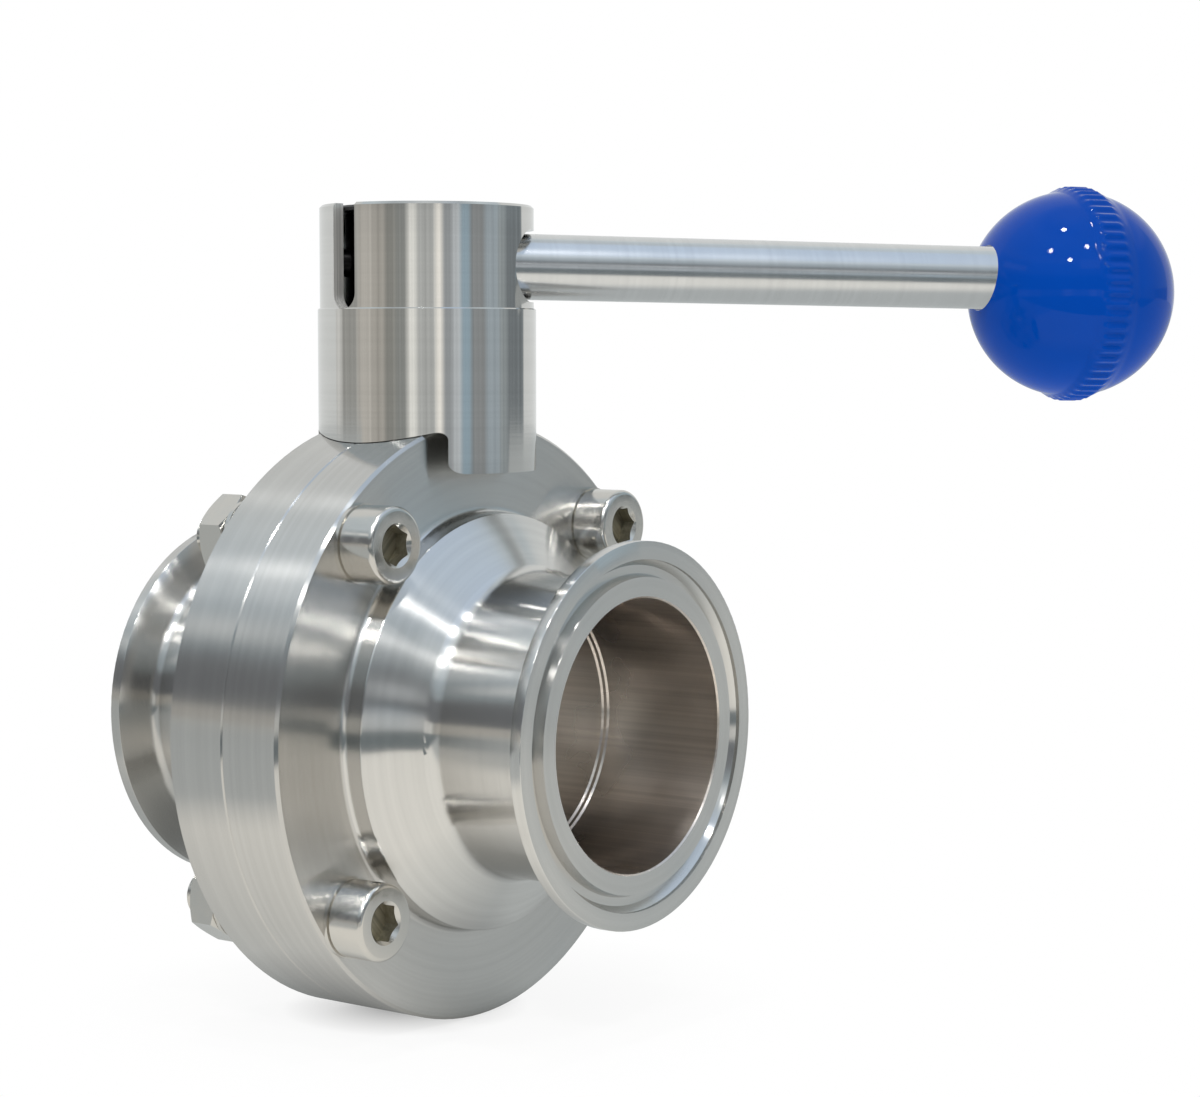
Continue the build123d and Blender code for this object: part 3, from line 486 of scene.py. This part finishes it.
def whiteTable():
    material, tree = newMaterial("white_table")
    coords = addNode(tree, "ShaderNodeTexCoord")
    distance = addNode(tree, "ShaderNodeVectorMath", {"operation": "LENGTH"}, {0: coords.outputs["Object"]})
    fade = addNode(tree, "ShaderNodeMapRange", None,
                   {"Value": distance.outputs["Value"], "From Min": table["fadeStart"] * mm,
                    "From Max": table["fadeEnd"] * mm, "To Min": table["nearWhite"], "To Max": 1.0})
    cloth = addNode(tree, "ShaderNodeBsdfDiffuse", None, {"Color": toLinear("#F6F5F3")})
    # painted contact shadow: round the point where the flange rests, a mask takes the white glow off the table for
    # the camera, so the table is painted darker there
    foot = addNode(tree, "ShaderNodeVectorMath", {"operation": "SUBTRACT"},
                   {0: coords.outputs["Object"], 1: Vector((*table["paintedShadowCentre"], table["height"])) * mm})
    footDistance = addNode(tree, "ShaderNodeVectorMath", {"operation": "LENGTH"}, {0: foot.outputs[0]})
    paintedShadow = addNode(tree, "ShaderNodeMapRange", None,
                    {"Value": footDistance.outputs["Value"], "From Max": table["paintedShadowReach"] * mm,
                     "To Min": -table["paintedShadowDark"], "To Max": 0.0})
    # painted shadow in the steel: near the flange's foot the table's glow, for glossy rays and for the light it
    # throws, is turned down
    lit = addNode(tree, "ShaderNodeMapRange", None,
                  {"Value": footDistance.outputs["Value"], "From Max": table["reflectedShadowReach"] * mm,
                   "To Min": 1 - table["reflectedShadowDark"], "To Max": 1.0})
    whiteness = addNode(tree, "ShaderNodeMath", {"operation": "ADD", "use_clamp": True},
                        {0: fade.outputs[0], 1: paintedShadow.outputs[0]})
    glow = addNode(tree, "ShaderNodeEmission", None, {"Color": (1, 1, 1, 1), "Strength": 1.0})
    paths = addNode(tree, "ShaderNodeLightPath")
    # painted shade in the reflections: the table that the steel mirrors is painted dimmer towards two sides, so it is
    # brightest in front of the valve
    shades = []
    for side in table["paintedShadeSides"]:
        turn = math.radians(side["facing"])
        reach = addNode(tree, "ShaderNodeVectorMath", {"operation": "DOT_PRODUCT"},
                        {0: coords.outputs["Object"], 1: (math.cos(turn), math.sin(turn), 0)})
        shades.append(addNode(tree, "ShaderNodeMapRange", None,
                              {"Value": reach.outputs["Value"], "From Min": side["start"] * mm,
                               "From Max": side["end"] * mm}).outputs[0])
    darker = addNode(tree, "ShaderNodeMath", {"operation": "MAXIMUM"}, {0: shades[0], 1: shades[1]})
    dimming = addNode(tree, "ShaderNodeMath", {"operation": "MULTIPLY"},
                      {0: darker.outputs[0], 1: paths.outputs["Is Glossy Ray"]})
    tableColour = addNode(tree, "ShaderNodeValToRGB", None, {"Fac": dimming.outputs[0]})
    setRamp(tableColour, ((0.0, table["brightColour"]), (1.0, table["paintedShadeColour"])))
    thrown = addNode(tree, "ShaderNodeMapRange", None,
                     {"Value": paths.outputs["Is Diffuse Ray"], "To Min": 1.0, "To Max": table["thrownLight"]})
    strength = addNode(tree, "ShaderNodeMath", {"operation": "MULTIPLY"}, {0: thrown.outputs[0], 1: lit.outputs[0]})
    mirrored = addNode(tree, "ShaderNodeEmission", None,
                       {"Color": tableColour.outputs[0], "Strength": strength.outputs[0]})
    pictured = addNode(tree, "ShaderNodeMixShader", None,
                       {0: whiteness.outputs[0], 1: cloth.outputs[0], 2: glow.outputs[0]})
    shader = addNode(tree, "ShaderNodeMixShader", None,
                     {0: paths.outputs["Is Camera Ray"], 1: mirrored.outputs[0], 2: pictured.outputs[0]})
    closeMaterial(tree, shader)
    return material


bm = bmesh.new()
bmesh.ops.create_circle(bm, cap_ends=True, segments=96, radius=table["radius"] * mm,
                        matrix=Matrix.Translation((0, 0, table["height"] * mm)))
facing = math.radians(table["edgeFacing"])
outward = Vector((math.cos(facing), math.sin(facing), 0))
bmesh.ops.bisect_plane(bm, geom=bm.verts[:] + bm.edges[:] + bm.faces[:], clear_outer=True,
                       plane_co=outward * table["edgeDistance"] * mm, plane_no=outward)
mesh = bpy.data.meshes.new("table_top")
bm.to_mesh(mesh)
bm.free()
tableTop = newObject("table_top", mesh)
mesh.materials.append(whiteTable())

# round ceiling lamps, by compass turn and height in degrees as the ball knob sees them
lamps = {"power": 1.65, "radius": 42.0, "distance": 950.0, "aim": (56.7, 78.0, 57.9),
         "places": ((-84.8, 73.9), (-91.8, 46.4), (-63.7, 36.8), (-37.3, 51.2))}
for i, (azimuth, elevation) in enumerate(lamps["places"]):
    a, e = math.radians(azimuth), math.radians(elevation)
    heading = Vector((math.cos(a) * math.cos(e), math.sin(a) * math.cos(e), math.sin(e)))
    light = bpy.data.lights.new(f"ceiling_lamp_{i + 1}", "AREA")
    light.shape, light.size, light.energy = "DISK", 2 * lamps["radius"] * mm, lamps["power"]
    lamp = newObject(light.name, light)
    lamp.location = (Vector(lamps["aim"]) + heading * lamps["distance"]) * mm
    lamp.rotation_euler = heading.to_track_quat("Z", "Y").to_euler()

# The room: a white sheet hangs behind the valve, and the room in front of it is darker, with
# windows, doors and cupboards at eye level and a light ceiling. Turns and heights are in degrees.
room = {
    "eyeLevel": (
        (-180, "#C0C0BE"), (-151, "#959592"), (-128, "#B4B1AB"), (-110, "#A3A09A"), (-95, "#888884"),
        (-83, "#888A88"), (-71, "#E0E0DC"), (-61, "#ACAEAD"), (-41, "#F2EFE9"), (-34, "#95999C"),
        (-23, "#B6BBBF"), (-14, "#90A3AF"), (-3, "#878A8C"), (14, "#98A2A9"), (32, "#8D9497"), (43, "#70767A"),
    ),
    "edgeSoftness": 5.0, "streaks": 0.16, "streakScale": 0.22,
    "heights": (
        (0, "#606367"), (17, "#66696D"), (21, "#8E989E"), (30, "#9AA5AD"), (35, "#BAC4CB"), (41, "#B0BAC2"),
        (48, "#B4BEC5"), (60, "#BCC6CC"), (72, "#A6ADB2"), (90, "#C4C9CC"),
    ),
    "windows": (
        {"turn": (-150, -118), "height": (23, 27), "colour": "#CED2D4"},
        {"turn": (-22, -6), "height": (7, 11), "colour": "#BEC4C8"},
        {"turn": (-50, -26), "height": (27, 36), "colour": "#D6DCE0"},
        {"turn": (26, 76), "height": (4, 30), "colour": "#94A4AE"},
        {"turn": (-40, 62), "height": (40, 82), "colour": "#B2C1D4"},
    ),
    "sheet": {"facing": 135.5, "edge": 0.446, "softness": 0.03, "colour": "#C8CACA"},
    "floor": "#646C70",
    "eyeBand": (-2.6, 3.0), "bandEdge": 1.5, "windowEdge": {"turn": 2, "height": 1},
    "strength": 1.5, "fill": 0.45,
}


def makeRoom():
    world = bpy.data.worlds.new("light_room")
    bpy.context.scene.world = world
    world.use_nodes = True
    tree = world.node_tree
    tree.nodes.clear()
    coords = addNode(tree, "ShaderNodeTexCoord")
    towards = coords.outputs["Generated"]
    parts = addNode(tree, "ShaderNodeSeparateXYZ", None, {0: towards})
    compass = addNode(tree, "ShaderNodeMath", {"operation": "ARCTAN2"},
                      {0: parts.outputs["Y"], 1: parts.outputs["X"]})
    turn = addNode(tree, "ShaderNodeMath", {"operation": "MULTIPLY"}, {0: compass.outputs[0], 1: 180 / math.pi})
    rise = addNode(tree, "ShaderNodeMath", {"operation": "ARCSINE"}, {0: parts.outputs["Z"]})
    height = addNode(tree, "ShaderNodeMath", {"operation": "MULTIPLY"}, {0: rise.outputs[0], 1: 180 / math.pi})

    def step(value, start, end):
        return addNode(tree, "ShaderNodeMapRange", {"interpolation_type": "SMOOTHSTEP"},
                       {"Value": value, "From Min": start, "From Max": end}).outputs[0]

    def layer(factor, below, above):
        return addNode(tree, "ShaderNodeMix", {"data_type": "RGBA"}, {0: factor, 6: below, 7: above}).outputs[2]

    def times(first, second):
        return addNode(tree, "ShaderNodeMath", {"operation": "MULTIPLY"}, {0: first, 1: second}).outputs[0]

    soft = room["edgeSoftness"] / 2
    stops = []
    for i, (place, colour) in enumerate(room["eyeLevel"]):
        following = room["eyeLevel"][i + 1][0] if i + 1 < len(room["eyeLevel"]) else 180
        stops += [((place + soft + 180) / 360, colour), ((following - soft + 180) / 360, colour)]
    around = addNode(tree, "ShaderNodeMapRange", None, {"Value": turn.outputs[0], "From Min": -180, "From Max": 180})
    eyeLevel = addNode(tree, "ShaderNodeValToRGB", None, {"Fac": around.outputs[0]})
    setRamp(eyeLevel, stops)
    clutter = addNode(tree, "ShaderNodeTexNoise", {"noise_dimensions": "1D"},
                      {"W": turn.outputs[0], "Scale": room["streakScale"], "Detail": 4.0, "Roughness": 0.7})
    unevenness = addNode(tree, "ShaderNodeMapRange", None,
                         {"Value": clutter.outputs[0], "To Min": 1 - room["streaks"], "To Max": 1 + room["streaks"],
                          **noiseRange})
    crowded = addNode(tree, "ShaderNodeVectorMath", {"operation": "SCALE"},
                      {0: eyeLevel.outputs[0], "Scale": unevenness.outputs[0]})
    upwards = addNode(tree, "ShaderNodeMapRange", None, {"Value": height.outputs[0], "From Max": 90})
    heights = addNode(tree, "ShaderNodeValToRGB", None, {"Fac": upwards.outputs[0]})
    setRamp(heights, [(place / 90, colour) for place, colour in room["heights"]])
    low, high = room["eyeBand"]
    view = layer(step(height.outputs[0], high, high + room["bandEdge"]), crowded.outputs[0], heights.outputs[0])
    for window in room["windows"]:
        (start, end), (bottom, top) = window["turn"], window["height"]
        wide, tall = room["windowEdge"]["turn"], room["windowEdge"]["height"]
        inside = times(
            times(step(turn.outputs[0], start - wide, start), step(turn.outputs[0], end + wide, end)),
            times(step(height.outputs[0], bottom - tall, bottom), step(height.outputs[0], top + tall, top)))
        view = layer(inside, view, toLinear(window["colour"]))
    view = layer(step(height.outputs[0], low, low - room["bandEdge"]), view, toLinear(room["floor"]))
    facing = math.radians(room["sheet"]["facing"])
    behind = addNode(tree, "ShaderNodeVectorMath", {"operation": "DOT_PRODUCT"},
                     {0: towards, 1: (math.cos(facing), math.sin(facing), 0)})
    edge, softness = room["sheet"]["edge"], room["sheet"]["softness"]
    view = layer(step(behind.outputs["Value"], edge - softness, edge + softness), view,
                 toLinear(room["sheet"]["colour"]))
    mirrored = addNode(tree, "ShaderNodeBackground", None, {"Color": view, "Strength": room["strength"]})
    fill = addNode(tree, "ShaderNodeBackground", None,
                   {"Color": toLinear("#F6F8FA"), "Strength": room["fill"]})
    white = addNode(tree, "ShaderNodeBackground", None, {"Color": (1, 1, 1, 1), "Strength": 1.0})
    paths = addNode(tree, "ShaderNodeLightPath")
    first = addNode(tree, "ShaderNodeMixShader", None,
                    {0: paths.outputs["Is Glossy Ray"], 1: fill.outputs[0], 2: mirrored.outputs[0]})
    second = addNode(tree, "ShaderNodeMixShader", None,
                     {0: paths.outputs["Is Camera Ray"], 1: first.outputs[0], 2: white.outputs[0]})
    addNode(tree, "ShaderNodeOutputWorld", None, {"Surface": second.outputs[0]})


makeRoom()
bpy.context.scene.view_settings.view_transform = "Standard"

# camera: a long lens a little above the valve, standing in front to the right
view = {"azimuth": 36.541, "elevation": 4.172, "lens": 82.5, "sensor": 36.0,
        "right": 23.404, "up": 22.688, "away": 376.4}
a, e = math.radians(view["azimuth"]), math.radians(view["elevation"])
back = Vector((math.sin(a) * math.cos(e), -math.cos(a) * math.cos(e), math.sin(e)))
right = Vector((math.cos(a), math.sin(a), 0))
up = back.cross(right)
lens = bpy.data.cameras.new("photo_camera")
lens.lens, lens.sensor_width = view["lens"], view["sensor"]
lens.clip_start, lens.clip_end = 0.01, 20
camera = newObject("photo_camera", lens)
camera.matrix_world = (Matrix.Translation((right * view["right"] + up * view["up"] + back * view["away"]) * mm)
                       @ Matrix((right, up, back)).transposed().to_4x4())
bpy.context.scene.camera = camera
print("stage, room and camera set")
